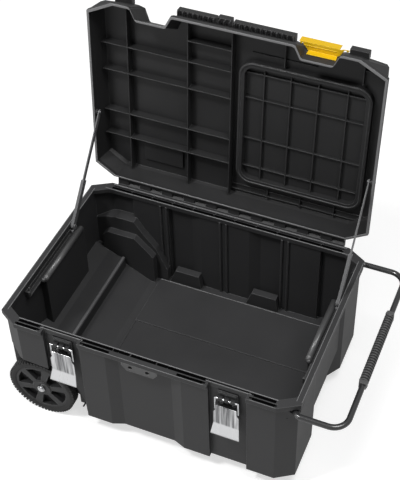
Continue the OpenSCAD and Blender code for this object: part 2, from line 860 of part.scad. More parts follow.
module lid() {
  color([0.12, 0.12, 0.125]) lid_open_pose() {
    difference() {
      union() {
        difference() {
          lid_form(0, lip_z, lid_top);
          lid_form(lid_wall, lip_z - 1, lid_top - lid_wall);
        }
        intersection() {
          union() {
            lid_ribs();
            lid_bead();
          }
          lid_form(1, lip_z, lid_top - 1);
        }
        lid_ridge();
        lid_knuckles();
        mirror_x() rod_x(lid_half_x - lid_wall - 5, lid_half_x - 1, strap_y, lip_z + strap_off, 6);
      }
      rod_x(-big, big, hinge_y, hinge_z, pin_r + run_fit);
      mirror_x() rod_x(0, lid_half_x - 0.5, strap_y, lip_z + strap_off, 2.5);
    }
  }
}

// Pins on which the straps turn, fixed in the lid's side bosses
module strap_pins() {
  color([0.6, 0.6, 0.61]) lid_open_pose() mirror_x() {
    rod_x(stay_x - 4, lid_half_x - 0.5, strap_y, lip_z + strap_off, 2.5);
    rod_x(stay_x - 4, stay_x - 1.8, strap_y, lip_z + strap_off, 4.5);
  }
}

// Bent keeper plate across the right notch
module front_plate() {
  keep_y = lid_front;
  color([0.95, 0.72, 0.02]) lid_open_pose() difference() {
    union() {
      span([138, keep_y - 1.6, lip_z + 28], [249, keep_y, lip_z + 37.5]);
      span([146, keep_y - 1.6, lip_z + 37], [242, keep_y, lip_z + 50]);
      translate([0, 0, lip_z + 28]) linear_extrude(1.8)
        polygon([[147, keep_y - 1.6], [241, keep_y - 1.6], [241, keep_y + 1], [225, notch_y - 1],
          [163, notch_y - 1], [147, keep_y + 1]]);
      prism_x(166, 222, [[notch_y - 2.6, lip_z + 28], [notch_y - 1, lip_z + 28],
        [notch_y - 1, lip_z + 20], [notch_y - 2.6, lip_z + 20]]);
    }
    for (x = [141.5, 246])
      rod_y(-big, big, x, lip_z + 32.5, 1.8);
  }
}

module plate_rivets() {
  color([0.6, 0.6, 0.61]) lid_open_pose() for (x = [141.5, 246]) {
    rod_y(lid_front - 1.6, lid_front, x, lip_z + 32.5, 1.8);
    rod_y(lid_front - 2.6, lid_front - 1.6, x, lip_z + 32.5, 3);
  }
}

// Stays

// Rest positions of the two pivots and the direction between them
stay_foot_y = 84;
stay_foot_z = 252;
rel_y = strap_y - hinge_y;
rel_z = lip_z + strap_off - hinge_z;
head_y = hinge_y + rel_y * cos(lid_open) + rel_z * sin(lid_open);
head_z = hinge_z - rel_y * sin(lid_open) + rel_z * cos(lid_open);
stay_angle = atan2(head_z - stay_foot_z, head_y - stay_foot_y);
stay_l = norm([head_y - stay_foot_y, head_z - stay_foot_z]);
strap_l = 176;

// Puts a piece drawn along +Y from the foot onto the stay's line
module on_stay() {
  translate([stay_x, stay_foot_y, stay_foot_z]) rotate([stay_angle, 0, 0]) children();
}

module strap() {
  color([0.3, 0.3, 0.31]) on_stay() difference() {
    union() {
      span([-strap_t / 2, stay_l - strap_l, -strap_w / 2], [strap_t / 2, stay_l, strap_w / 2]);
      rod_x(-strap_t / 2, strap_t / 2, stay_l, 0, strap_w / 2);
    }
    rod_x(-strap_t, strap_t, stay_l, 0, 2.5 + run_fit);
  }
}

module sleeve() {
  color([0.22, 0.22, 0.225]) on_stay() difference() {
    union() {
      span([-sleeve_t / 2, 0, -sleeve_w / 2], [sleeve_t / 2, sleeve_l, sleeve_w / 2]);
      rod_x(-sleeve_t / 2, sleeve_t / 2, 0, 0, sleeve_w / 2);
    }
    span([-strap_t / 2 - seat, 9, -strap_w / 2 - seat],
      [strap_t / 2 + seat, sleeve_l + 1, strap_w / 2 + seat]);
    rod_x(-sleeve_t, sleeve_t, 0, 0, 3.5);
  }
}

// Shoe that slides in the channel and carries the sleeve's pin
module slider() {
  cheek = shelf_top + 12.8;
  color([0.4, 0.4, 0.41]) {
    span([stay_x - 3.2, stay_foot_y - 11, shelf_top + 4 + seat], [stay_x + 3.2, stay_foot_y + 11, cheek + 0.8]);
    span([stay_x - 5.4, stay_foot_y - 5, cheek], [stay_x - 2, stay_foot_y + 5, cheek + 0.8]);
    span([stay_x - 5.4, stay_foot_y - 5, cheek], [stay_x - 3.6, stay_foot_y + 5, stay_foot_z]);
    rod_x(stay_x - 5.4, stay_x - 3.6, stay_foot_y, stay_foot_z, 5);
    rod_x(stay_x - 4.4, stay_x + 4.7, stay_foot_y, stay_foot_z, 2.5);
    rod_x(stay_x + 3.6, stay_x + 4.7, stay_foot_y, stay_foot_z, 4.5);
  }
}

module strap_right() {
  strap();
}

module strap_left() {
  mirror([1, 0, 0]) strap();
}

module sleeve_right() {
  sleeve();
}

module sleeve_left() {
  mirror([1, 0, 0]) sleeve();
}

module slider_right() {
  slider();
}

module slider_left() {
  mirror([1, 0, 0]) slider();
}

// Tow handle

inner_bend = 14;

// Quarter of a bent tube: centre, radius and start angle in plan
module bend(cx, cy, r, start) {
  translate([cx, cy, tow_z]) rotate([0, 0, start])
    rotate_extrude(angle = 90) translate([r, 0]) circle(tube_r);
}

module tow_tube() {
  color([0.16, 0.16, 0.165]) mirror_y() {
    rod_y(spigot_face, spigot_in - 1, spigot_x, tow_z, tube_r);
    bend(spigot_x + inner_bend, spigot_face, inner_bend, 180);
    rod_x(spigot_x + inner_bend, tow_x - tow_bend, -tow_y, tow_z, tube_r);
    bend(tow_x - tow_bend, -tow_y + tow_bend, tow_bend, 270);
    rod_y(-tow_y + tow_bend, 0, tow_x, tow_z, tube_r);
  }
}

// Ribbed grip sleeve with shaped ends
module tow_grip() {
  rings = 26;
  pitch = (2 * grip_half - 36) / rings;
  color([0.09, 0.09, 0.09]) difference() {
    union() {
      rod_y(-grip_half + 18, grip_half - 18, tow_x, tow_z, grip_r - 1.5);
      for (i = [0:rings - 1])
        rod_y(-grip_half + 18 + i * pitch, -grip_half + 18 + (i + 0.55) * pitch, tow_x, tow_z, grip_r);
      for (side = [-1, 1])
        span([tow_x - 8, side * (grip_half - 9) - 9, tow_z - 8],
          [tow_x + 8, side * (grip_half - 9) + 9, tow_z + 8]);
    }
    rod_y(-big, big, tow_x, tow_z, tube_r);
  }
}

tub();
padlock_tab();
hinge_pin();
track_left();
track_right();
track_rivets();
feet();
axles();
axle_caps();
latch_base_left();
latch_base_right();
latch_screws();
lid();
strap_pins();
front_plate();
plate_rivets();
strap_left();
strap_right();
sleeve_left();
sleeve_right();
slider_left();
slider_right();
bail_left();
bail_right();
latch_plate_left();
latch_plate_right();
hub_front();
hub_rear();
tyre_front();
tyre_rear();
tow_tube();
tow_grip();
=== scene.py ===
import math

import bmesh
import bpy
from mathutils import Euler, Matrix, Vector


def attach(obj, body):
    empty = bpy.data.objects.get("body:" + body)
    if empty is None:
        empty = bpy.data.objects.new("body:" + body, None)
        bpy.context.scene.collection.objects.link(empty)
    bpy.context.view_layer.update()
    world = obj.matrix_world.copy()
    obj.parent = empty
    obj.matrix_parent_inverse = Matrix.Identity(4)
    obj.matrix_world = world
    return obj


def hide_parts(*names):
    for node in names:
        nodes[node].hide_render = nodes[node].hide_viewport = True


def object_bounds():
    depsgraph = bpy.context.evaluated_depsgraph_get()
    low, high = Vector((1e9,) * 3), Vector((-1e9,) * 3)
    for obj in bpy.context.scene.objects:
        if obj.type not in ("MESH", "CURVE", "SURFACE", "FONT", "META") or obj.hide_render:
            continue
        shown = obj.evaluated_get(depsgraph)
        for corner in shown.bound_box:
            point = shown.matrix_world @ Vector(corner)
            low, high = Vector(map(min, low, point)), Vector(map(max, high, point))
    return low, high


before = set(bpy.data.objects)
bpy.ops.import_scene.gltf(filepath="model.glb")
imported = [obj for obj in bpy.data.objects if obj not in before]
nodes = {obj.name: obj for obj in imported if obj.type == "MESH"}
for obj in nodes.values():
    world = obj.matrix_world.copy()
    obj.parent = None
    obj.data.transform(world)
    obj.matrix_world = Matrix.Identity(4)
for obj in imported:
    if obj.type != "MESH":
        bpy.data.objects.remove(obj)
cad_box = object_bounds()
scene = bpy.context.scene


# The case stands open on its wheels and feet and is seen from above its
# front right corner. The camera's angles, place and focal length are those
# that were fitted to the photograph.
VIEW_TURN, VIEW_HEIGHT, VIEW_ROLL = 22.17, 43.18, -0.39
VIEW_FROM = Vector((0.7552, -1.5815, 2.1731))
PHOTO_W, PHOTO_H = 400, 480
FOCAL_PX = 1149.992
CENTRE_PX = (231.6843, 197.1401)
SENSOR = 36.0
NEAREST, FARTHEST = 0.05, 60

camera = bpy.data.objects.new("camera", bpy.data.cameras.new("camera"))
scene.collection.objects.link(camera)
camera.location = VIEW_FROM
tilt = Euler((math.radians(90 - VIEW_HEIGHT), 0, math.radians(VIEW_TURN)), "XYZ").to_matrix()
roll = Matrix.Rotation(math.radians(VIEW_ROLL), 3, "Z")
camera.rotation_euler = (tilt @ roll).to_euler("XYZ")
camera.data.sensor_width = SENSOR
camera.data.lens = FOCAL_PX * SENSOR / PHOTO_H
camera.data.shift_x = -(CENTRE_PX[0] - PHOTO_W / 2) / PHOTO_H
camera.data.shift_y = (CENTRE_PX[1] - PHOTO_H / 2) / PHOTO_H
camera.data.clip_start = NEAREST
camera.data.clip_end = FARTHEST
scene.camera = camera
scene.view_settings.view_transform = "Standard"


# A flat sheet of pale matt paper lies under the case. It shows as white and
# keeps the case's shadow, and it isn't part of the object.
PAPER_HALF = 14
PAPER_BACK = 6
PAPER_PALE = (0.6, 0.6, 0.6, 1)
PAPER_GLOW = 0.62
PAPER_MIRRORED = 0.3
WHITE = (1, 1, 1, 1)
SEEN_BY = ("Is Camera Ray", "Is Transmission Ray", "Is Glossy Ray")


class Value:
    """A socket of a material's tree; arithmetic on it adds Math nodes."""

    def __init__(self, tree, socket=None):
        self.tree = tree
        self.socket = socket

    def node(self, kind, settings=None, inputs=None, out=0):
        made = self.tree.nodes.new(kind)
        for key, setting in (settings or {}).items():
            setattr(made, key, setting)
        for key, value in (inputs or {}).items():
            if isinstance(value, Value):
                self.tree.links.new(value.socket, made.inputs[key])
            else:
                made.inputs[key].default_value = value
        return Value(self.tree, made.outputs[out] if made.outputs else None)

    def maths(self, operation, *terms):
        return self.node("ShaderNodeMath", {"operation": operation}, dict(enumerate(terms)))

    def __add__(self, other):
        return self.maths("ADD", self, other)

    def __sub__(self, other):
        return self.maths("SUBTRACT", self, other)

    def __rsub__(self, other):
        return self.maths("SUBTRACT", other, self)

    def __mul__(self, other):
        return self.maths("MULTIPLY", self, other)

    __radd__ = __add__
    __rmul__ = __mul__

    def spread(self, low, high, start=0.0, end=1.0):
        """Runs from start to end while this value runs from low to high."""
        return self.node("ShaderNodeMapRange", inputs={0: self, 1: low, 2: high, 3: start, 4: end})

    def blend(self, low, high):
        """Colour between low and high, with this value as the share of high."""
        ends = {key: colour if isinstance(colour, Value) else (*colour, 1)
                for key, colour in ((6, low), (7, high))}
        return self.node("ShaderNodeMix", {"data_type": "RGBA"}, {0: self, **ends}, out=2)


def new_material(name):
    material = bpy.data.materials.new(name)
    material.use_nodes = True
    material.node_tree.nodes.clear()
    return material, Value(material.node_tree)


def close_material(value, shader):
    value.node("ShaderNodeOutputMaterial", inputs={"Surface": shader})


def link_mesh(name, shape, material):
    """Makes an object at the origin of a shape, with its material."""
    mesh = bpy.data.meshes.new(name)
    shape.to_mesh(mesh)
    shape.free()
    mesh.materials.append(material)
    piece = bpy.data.objects.new(name, mesh)
    scene.collection.objects.link(piece)
    return piece


paper, value = new_material("pale_paper")
plain_paper = value.node("ShaderNodeBsdfPrincipled", inputs={
    "Base Color": PAPER_PALE, "Roughness": 0.8, "Specular IOR Level": 0.2})
seen, through, mirrored = (value.node("ShaderNodeLightPath", out=ray) for ray in SEEN_BY)
glow = (seen + through + mirrored * PAPER_MIRRORED) * PAPER_GLOW
lit_paper = value.node("ShaderNodeEmission", inputs={"Color": WHITE, "Strength": glow})
close_material(value, value.node("ShaderNodeAddShader", inputs={0: plain_paper, 1: lit_paper}))
sheet = bmesh.new()
bmesh.ops.create_grid(sheet, x_segments=1, y_segments=1, size=PAPER_HALF)
bmesh.ops.translate(sheet, verts=sheet.verts, vec=(0, PAPER_BACK, cad_box[0][2]))
link_mesh("paper_sweep", sheet, paper)


# Three square soft panels hang round the case, at a plain level: each has its
# place, its aim, the length of its side and its power.
LAMPS = {
    "lamp_key": ((-1.5, -1.6, 4.1), (0, 0, 0.2), 0.7, 118),
    "lamp_front": ((-1.9, -2.9, 1.0), (0, 0, 0.2), 1.6, 13),
    "lamp_top": ((1.2, -0.3, 3.8), (0, 0, 0), 1.6, 84),
}
for name, (place, aim, size, power) in LAMPS.items():
    lamp = bpy.data.lights.new(name, "AREA")
    lamp.shape = "SQUARE"
    lamp.size = size
    lamp.energy = power
    lamp_object = bpy.data.objects.new(name, lamp)
    scene.collection.objects.link(lamp_object)
    lamp_object.location = place
    aimed = (Vector(aim) - Vector(place)).to_track_quat("-Z", "Y")
    lamp_object.rotation_euler = aimed.to_euler()


# The pale room round the case gives a low even light. It shows as white where
# it is seen straight on or through something, and weaker in a reflection.
AMBIENT = 0.11
ROOM_MIRRORED = 0.4
world = bpy.data.worlds.new("studio")
scene.world = world
world.use_nodes = True
world.node_tree.nodes.clear()
value = Value(world.node_tree)
seen, through, mirrored = (value.node("ShaderNodeLightPath", out=ray) for ray in SEEN_BY)
strength = (seen + through) * (1 - AMBIENT) + mirrored * ROOM_MIRRORED + AMBIENT
light = value.node("ShaderNodeBackground", inputs={"Color": WHITE, "Strength": strength})
value.node("ShaderNodeOutputWorld", inputs={"Surface": light})


# The tub is one thick moulding of black polypropylene with a fine spark
# grain. Its edges are painted paler, partly as scuffing and partly as a
# painted highlight. It carries all the other pieces: the tab for a padlock is
# moulded with it, and rubber feet are pushed into it.
TUB_BLACK = (0.030, 0.030, 0.031)
TUB_EDGE = (0.15, 0.15, 0.153)
# The tab is painted lighter than the tub as a painted highlight on its face.
TAB_HIGHLIGHT_GREY, TAB_EDGE = (0.085, 0.085, 0.086), (0.24, 0.24, 0.24)
FOOT_BLACK, FOOT_EDGE = (0.030, 0.030, 0.030), (0.07, 0.07, 0.07)
SMUDGE_SCALE, SMUDGE_DARKER, SMUDGE_LIGHTER = 6.0, 0.16, 0.22
SCUFF_SCALE, SCUFF_RANGE = 90.0, (0.3, 0.6, 0.35)
GRAIN_STRENGTH = 0.6
ROUGH_CLOUDS, ROUGH_GRAIN, RUBBED_SMOOTHER = 0.16, 0.08, 0.05
BEVEL_RAYS = {"samples": 6}
EDGE_TURN = (0.99, 0.8)
CLOUDY = (0.3, 0.7)


def noise(place, scale, detail, roughness=0.5):
    return place.node("ShaderNodeTexNoise", inputs={
        "Vector": place, "Scale": scale, "Detail": detail, "Roughness": roughness})


def moulded(name, colour, edge, rough=0.5, grain=0.00005, grain_scale=1400.0, smudge=0.5,
            radius=0.0015, shine=0.3):
    """Moulded plastic or rubber: grain, smudges, and edges painted paler, partly as wear and
    partly as a painted highlight.
    """
    material, value = new_material(name)
    place = value.node("ShaderNodeTexCoord", out="Object")
    broad = noise(place, SMUDGE_SCALE, 4.0, 0.6)
    fine = noise(place, grain_scale, 1.0)
    scuff = noise(place, SCUFF_SCALE, 5.0, 0.7)
    rounded = value.node("ShaderNodeBevel", BEVEL_RAYS, {"Radius": radius})
    flat = value.node("ShaderNodeNewGeometry", out="Normal")
    same = value.node("ShaderNodeVectorMath", {"operation": "DOT_PRODUCT"},
                      {0: rounded, 1: flat}, out="Value")
    # Edges are painted paler, partly as wear and partly as a painted highlight where light catches
    # them.
    worn_and_highlit_edge = same.spread(*EDGE_TURN) * scuff.spread(*SCUFF_RANGE)
    low = tuple(channel * (1 - SMUDGE_DARKER * smudge) for channel in colour)
    high = tuple(channel * (1 + SMUDGE_LIGHTER * smudge) for channel in colour)
    body = broad.spread(*CLOUDY).blend(low, high)
    grit = value.node("ShaderNodeBump", inputs={
        "Strength": GRAIN_STRENGTH, "Distance": grain, "Height": fine, "Normal": rounded})
    uneven = (broad - 0.5) * ROUGH_CLOUDS + (fine - 0.5) * ROUGH_GRAIN
    close_material(value, value.node("ShaderNodeBsdfPrincipled", inputs={
        "Base Color": worn_and_highlit_edge.blend(body, edge), "Specular IOR Level": shine,
        "Roughness": rough + uneven - worn_and_highlit_edge * RUBBED_SMOOTHER, "Normal": grit}))
    return material


def dress(material, *names):
    """Gives CAD nodes their finished material."""
    for name in names:
        mesh = nodes[name].data
        mesh.materials.clear()
        mesh.materials.append(material)


tub_plastic = moulded("tub_plastic", TUB_BLACK, TUB_EDGE)
dress(tub_plastic, "tub")
dress(moulded("tab_plastic", TAB_HIGHLIGHT_GREY, TAB_EDGE, rough=0.4), "padlock_tab")
dress(moulded("foot_rubber", FOOT_BLACK, FOOT_EDGE, rough=0.7), "feet")


# The bed under the hinge is part of the tub's moulding: a full-width bar that
# closes the gaps below the knuckles. Its section is given as y and z.
HINGE_BED = ((245, 250), (263, 250), (263, 269.6), (252, 268.8), (245, 264.5))
HINGE_BED_HALF = 290
MM = 0.001


def push_out(shape, faces, step):
    """Extrudes faces by a step."""
    grown = bmesh.ops.extrude_face_region(shape, geom=faces)["geom"]
    tops = [item for item in grown if isinstance(item, bmesh.types.BMVert)]
    bmesh.ops.translate(shape, verts=tops, vec=step)


def profile(shape, points, axis, low, high):
    """Outline in the plane across an axis, extruded from low to high."""
    def place(u, w):
        return {"x": (low, u, w), "z": (u, w, low), "y": (u, low, w)}[axis]
    face = shape.faces.new([shape.verts.new(place(u, w)) for u, w in points])
    push_out(shape, [face], [high - low if letter == axis else 0 for letter in "xyz"])


def round_edges(shape, width, sharpest=0.5):
    """Rounds every edge that turns by more than the given angle."""
    edges = [edge for edge in shape.edges
             if len(edge.link_faces) == 2 and edge.calc_face_angle(0) > sharpest]
    bmesh.ops.bevel(shape, geom=edges, offset=width, offset_type="OFFSET", affect="EDGES",
                    segments=2, profile=0.5, material=-1, clamp_overlap=True)


def finish_piece(name, shape, body, material, smooth=False, turn=None, stands_for=()):
    """Turns millimetres into metres and hands the piece to its body."""
    bmesh.ops.recalc_face_normals(shape, faces=shape.faces)
    if turn:
        bmesh.ops.transform(shape, matrix=turn, verts=shape.verts)
    bmesh.ops.scale(shape, verts=shape.verts, vec=(MM, MM, MM))
    for face in shape.faces:
        face.smooth = smooth
    piece = link_mesh(name, shape, material)
    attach(piece, body)
    if stands_for:
        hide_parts(*stands_for)
    return piece


hinge_bed = bmesh.new()
profile(hinge_bed, HINGE_BED, "x", -HINGE_BED_HALF, HINGE_BED_HALF)
round_edges(hinge_bed, 0.8)
finish_piece("hinge_bed", hinge_bed, "tub", tub_plastic)


# The floor has a low raised panel along the back and a strip at the foot of
# the slope, moulded with the tub. Each row: x, y and z limits in millimetres.
FLOOR_STEPS = ((-170, 318, 55, 202, 7, 10.6), (-172, -168, -226, 189, 7, 9.8))


def block(shape, x0, x1, y0, y1, z0, z1):
    """Block between three pairs of limits; gives its eight corners."""
    made = bmesh.ops.create_cube(shape, size=1)["verts"]
    bmesh.ops.scale(shape, verts=made, vec=(x1 - x0, y1 - y0, z1 - z0))
    middle = ((x0 + x1) / 2, (y0 + y1) / 2, (z0 + z1) / 2)
    bmesh.ops.translate(shape, verts=made, vec=middle)
    return made


floor_panel = bmesh.new()
for limits in FLOOR_STEPS:
    block(floor_panel, *limits)
round_edges(floor_panel, 1.2)
finish_piece("floor_panel", floor_panel, "tub", tub_plastic)


# The shelf over the wheels' slope and the pads under the guide rails belong
# to the tub's moulding too. The shelf's section is given as x and z.
SHELF = ((-256, 40), (-258, 67), (-262, 70), (-315, 79), (-330, 80), (-330, 60), (-300, 50))
SHELF_HALF = 186
PAD_X = (316, 336)
PAD_REST = (-80, 104, 78, 229.6)

ledge = bmesh.new()
profile(ledge, SHELF, "y", -SHELF_HALF, SHELF_HALF)
for side in (-1, 1):
    block(ledge, *sorted(side * x for x in PAD_X), *PAD_REST)
round_edges(ledge, 1.6)
finish_piece("wheel_ledge", ledge, "tub", tub_plastic)


# A rolled bead runs along the shelf's edge and two low ones round the floor.
# They are the same plastic, painted lighter as a painted highlight along these edges.
SHELF_BEAD = ((-257.4, 66), (-257.4, 71), (-259, 73.4), (-264, 73.4), (-266, 70), (-266, 66))
FLOOR_BEADS = ((-168, 318, 201, 203.5, 7, 12.6), (315.6, 318, -196, 201, 7, 12.2))
BEAD_HIGHLIGHT_GREY, BEAD_EDGE = (0.10, 0.10, 0.102), (0.22, 0.22, 0.222)

bead = bmesh.new()
profile(bead, SHELF_BEAD, "y", -SHELF_HALF, SHELF_HALF)
for limits in FLOOR_BEADS:
    block(bead, *limits)
round_edges(bead, 0.8)
finish_piece("ledge_bead", bead, "tub",
             moulded("bead_painted_highlight", BEAD_HIGHLIGHT_GREY, BEAD_EDGE, rough=0.36, shine=0.45))


# Beads along the mouth and the outer lip of the rim stiffen the moulding;
# they are painted lighter than the tub as a painted highlight along the rim.
RIM_BEAD_Z = (260.5, 262.22)
LONG_BEADS = ((-302, 302, -224.4, -222.4), (-314, 314, 222.6, 224.6), (-300, 300, 240.5, 243.5),
              (-143, 143, -245, -243.4), (246, 303, -245, -243.4), (-303, -246, -245, -243.4),
              (143, 246, -231, -229.4), (-246, -143, -231, -229.4))
END_BEADS = (-349.6, 348.2, -338.2, 336.6)
END_BEAD_WIDTH, END_BEAD_HALF = 1.5, 212
RIM_HIGHLIGHT_GREY, RIM_EDGE = (0.17, 0.17, 0.173), (0.3, 0.3, 0.305)

rim_bead = bmesh.new()
for limits in LONG_BEADS:
    block(rim_bead, *limits, *RIM_BEAD_Z)
for x in END_BEADS:
    block(rim_bead, x, x + END_BEAD_WIDTH, -END_BEAD_HALF, END_BEAD_HALF, *RIM_BEAD_Z)
round_edges(rim_bead, 0.5)
finish_piece("rim_beads", rim_bead, "tub",
             moulded("rim_painted_highlight", RIM_HIGHLIGHT_GREY, RIM_EDGE, rough=0.36))


# Slots are left in the rim's top face where the mould had cores. Their
# shade is painted: thin sheets painted black lie a hair above the rim; each
# slot is given by its two x limits.
RIM_TOP = 262.0
OUTER_SLOTS = ((-300, -250), (-138, -76), (81, 139), (250, 300))
INNER_SLOTS = ((-144, -72), (-70, -58), (-56, -33), (-29, 30), (33, 56), (58, 144), (250, 299),
               (-299, -250))
BACK_SLOTS = tuple((x, x + 50) for x in range(-298, 290, 54))
SLOT_ROWS = ((OUTER_SLOTS, (-242.6, -236.4), 0.14), (INNER_SLOTS, (-232.8, -225.8), 0.12),
             (BACK_SLOTS, (226.5, 232.5), 0.12))
SLOT_PAINTED_SHADE, PIT_EDGE = (0.002, 0.002, 0.002), (0.004, 0.004, 0.004)

slots = bmesh.new()
for row, y_limits, proud in SLOT_ROWS:
    for x_limits in row:
        block(slots, *x_limits, *y_limits, RIM_TOP, RIM_TOP + proud)
finish_piece("rim_slots", slots, "tub",
             moulded("slot_painted_shade", SLOT_PAINTED_SHADE, PIT_EDGE, rough=0.9, radius=0.0002, shine=0.0))


# The lid is a second moulding of the same plastic, one open shell that turns
# about the hinge pin. Its walls lean in above an upright foot, and the floor
# of its left notch leans as well. It is drawn shut and then turned open.
LID_FOOT, LID_ROOF = 262.6, 320.4
LID_WALL = 3.4
INNER_ROOF = LID_ROOF - LID_WALL
OUTER_RISE, INNER_RISE = LID_ROOF - LID_FOOT, INNER_ROOF - LID_FOOT
LID_SIDE, LID_FRONT, LID_BACK = 345.5, 238, 244
HINGE_Y, HINGE_Z = 255.0, 278.0
LID_ANGLE = -94.5
LID_OPEN = Matrix.Translation((0, HINGE_Y, HINGE_Z)) @ Matrix.Rotation(
    math.radians(LID_ANGLE), 4, "X") @ Matrix.Translation((0, -HINGE_Y, -HINGE_Z))
NOTCH_FLOOR = -208.7
NOTCH_X = (150, 235)
UPRIGHT_Y = (-212, -200)
SCOOP = 33
HALF_OUTLINE = [(137, -LID_FRONT), (143, -236), (156, -211), (160, NOTCH_FLOOR),
                (226, NOTCH_FLOOR), (230, -211), (241, -236), (247, -LID_FRONT),
                (284, -LID_FRONT), (LID_SIDE, -206), (LID_SIDE, 214), (297, LID_BACK)]
LID_OUTLINE = HALF_OUTLINE + [(-x, y) for x, y in reversed(HALF_OUTLINE)]
# Rows of each skin, from the foot up: rise, and lean of sides, front and back
OUTER_SKIN = ((0, 0, 0, 0), (9, 0, 0, 0), (9.6, 2.3, 2.5, 0), (47.6, 11, 19, 5),
              (OUTER_RISE, 18, 28, 10))
INNER_SKIN = ((0, 5.2, 5.6, 3.2), (9.6, 5.4, 5.8, 3.2), (46, 13.6, 22, 8),
              (INNER_RISE, 17.5, 27, 11))
LID_BLACK = (0.022, 0.022, 0.0225)


def loop_edges(shape, ring):
    """Joins corners into one closed loop of edges."""
    return [shape.edges.new((ring[i], ring[i - 1])) for i in range(len(ring))]


lid_plastic = moulded("lid_plastic", LID_BLACK, TUB_EDGE, rough=0.46)
lid_shell = bmesh.new()
foot_edges = []
for skin, wall in ((OUTER_SKIN, 0), (INNER_SKIN, LID_WALL)):
    ring = [lid_shell.verts.new((x, y, LID_FOOT)) for x, y in LID_OUTLINE]
    edges = loop_edges(lid_shell, ring)
    foot_edges += edges
    held_corners = set()
    last_rise, previous = 0, (1.0, 1.0, 1.0)
    for rise, side, front, back in skin:
        if rise:
            grown = bmesh.ops.extrude_edge_only(lid_shell, edges=edges)["geom"]
            ring = [item for item in grown if isinstance(item, bmesh.types.BMVert)]
            edges = [item for item in grown if isinstance(item, bmesh.types.BMEdge)
                     and item.is_boundary and all(vert in ring for vert in item.verts)]
        now = (1 - side / LID_SIDE, 1 - front / LID_FRONT, 1 - back / LID_BACK)
        for vert in ring:
            vert.co.x *= now[0] / previous[0]
            in_notch = NOTCH_X[0] < abs(vert.co.x / now[0]) < NOTCH_X[1]
            if in_notch or UPRIGHT_Y[0] < vert.co.y < UPRIGHT_Y[1]:
                held_corners.add(vert)
                if in_notch and vert.co.x < 0:
                    vert.co.y += SCOOP * (rise - last_rise) / OUTER_RISE
            else:
                lean = 1 if vert.co.y < 0 else 2
                vert.co.y *= now[lean] / previous[lean]
            vert.co.z = LID_FOOT + rise
        previous, last_rise = now, rise
    bmesh.ops.contextual_create(lid_shell, geom=edges)
    bmesh.ops.translate(lid_shell, verts=list(held_corners), vec=(0, wall, 0))
bmesh.ops.bridge_loops(lid_shell, edges=foot_edges)
bmesh.ops.recalc_face_normals(lid_shell, faces=lid_shell.faces)
round_edges(lid_shell, 1.1, sharpest=0.3)
finish_piece("lid_shell", lid_shell, "lid", lid_plastic, turn=LID_OPEN,
             stands_for=("lid",))


# A rolled lip follows the lid's foot, moulded with it. It closes on the rim,
# and it is painted lighter than the lid as a painted highlight all round.
LIP_FOOT, LIP_HIGH = 262.3, 1.6
LIP_LOOPS = ((0.2, 0.2, 0.3), (5.6, 6, 4))
LIP_HIGHLIGHT_GREY, LIP_EDGE = (0.18, 0.18, 0.183), (0.28, 0.28, 0.285)


def raise_band(shape, loops, high):
    """Bridges two loops and raises the band between them."""
    push_out(shape, bmesh.ops.bridge_loops(shape, edges=loops)["faces"], (0, 0, high))


lid_lip = bmesh.new()
loops = []
for side, front, back in LIP_LOOPS:
    lean_x, lean_front, lean_back = side / LID_SIDE, front / LID_FRONT, back / LID_BACK
    loops += loop_edges(lid_lip, [
        lid_lip.verts.new((x * (1 - lean_x), y * (1 - (lean_front if y < 0 else lean_back)),
                           LIP_FOOT)) for x, y in LID_OUTLINE])
raise_band(lid_lip, loops, LIP_HIGH)
round_edges(lid_lip, 0.6)
finish_piece("lid_lip", lid_lip, "lid",
             moulded("lip_painted_highlight", LIP_HIGHLIGHT_GREY, LIP_EDGE, rough=0.34, shine=0.45), turn=LID_OPEN)


# Ribs divide the lid's inside, moulded with its roof: deep ones on the left,
# a fine grid inside the frame on the right, and low ones round the frame.
RIB, FINE_RIB = 2.4, 2.8
RIB_BURIED = 1.5
FRONT_RIB_END, LEFT_RIB_END = -200, -320
FRONT_LEAN, LEFT_LEAN = 7, 6
# Each row: places, the two ends, the depth below the roof, and the width
UPRIGHTS = (((-265, -116, -11), -217, 234, 21, RIB), ((62, 124, 187, 254), -131, 176, 8, FINE_RIB),
            ((83, 164, 247), 193, 230, 7, RIB), ((108,), -214, -148, 12, RIB),
            ((284,), -214, -150, 12, RIB))
CROSSES = (((141.3, 73.3, -39.7, -110.7), -331, -11, 21, RIB), ((-164.7,), -116, -11, 21, RIB),
           ((144.3, 64.3, -46.7, -112.7), 17, 298, 7, FINE_RIB), ((-184.7,), 284, 326, 8, RIB),
           ((209,), -8, 328, 3, RIB), ((222,), -8, 328, 6, RIB), ((-163,), 30, 180, 3, RIB))
ROOF_PAD = (-235, -135, 146, 204, INNER_ROOF - 6, INNER_ROOF + 1)

ribs = bmesh.new()
for upright, rows in ((True, UPRIGHTS), (False, CROSSES)):
    for places, start, end, deep, width in rows:
        for place in places:
            low = INNER_ROOF - deep
            across = (place - width / 2, place + width / 2)
            limits = (*across, start, end) if upright else (start, end, *across)
            for vert in block(ribs, *limits, low, INNER_ROOF + RIB_BURIED):
                if vert.co.z > low + 1 and vert.co.y < FRONT_RIB_END:
                    vert.co.y += FRONT_LEAN
                if vert.co.z > low + 1 and vert.co.x < LEFT_RIB_END:
                    vert.co.x += LEFT_LEAN
block(ribs, *ROOF_PAD)
round_edges(ribs, 0.5)
finish_piece("lid_ribs", ribs, "lid", lid_plastic, turn=LID_OPEN)


# A rounded frame stands round the fine grid, moulded with the roof: a broad
# low ring with a narrow, taller one on its inner edge.
# Each row: x and y limits, corner radius, width and depth below the roof
FRAME_RINGS = ((4, 311, -144.7, 189.3, 37, 14, 15), (6.5, 308.5, -142.2, 186.8, 34.5, 4, 16.4))
CORNER_SEGMENTS = 44

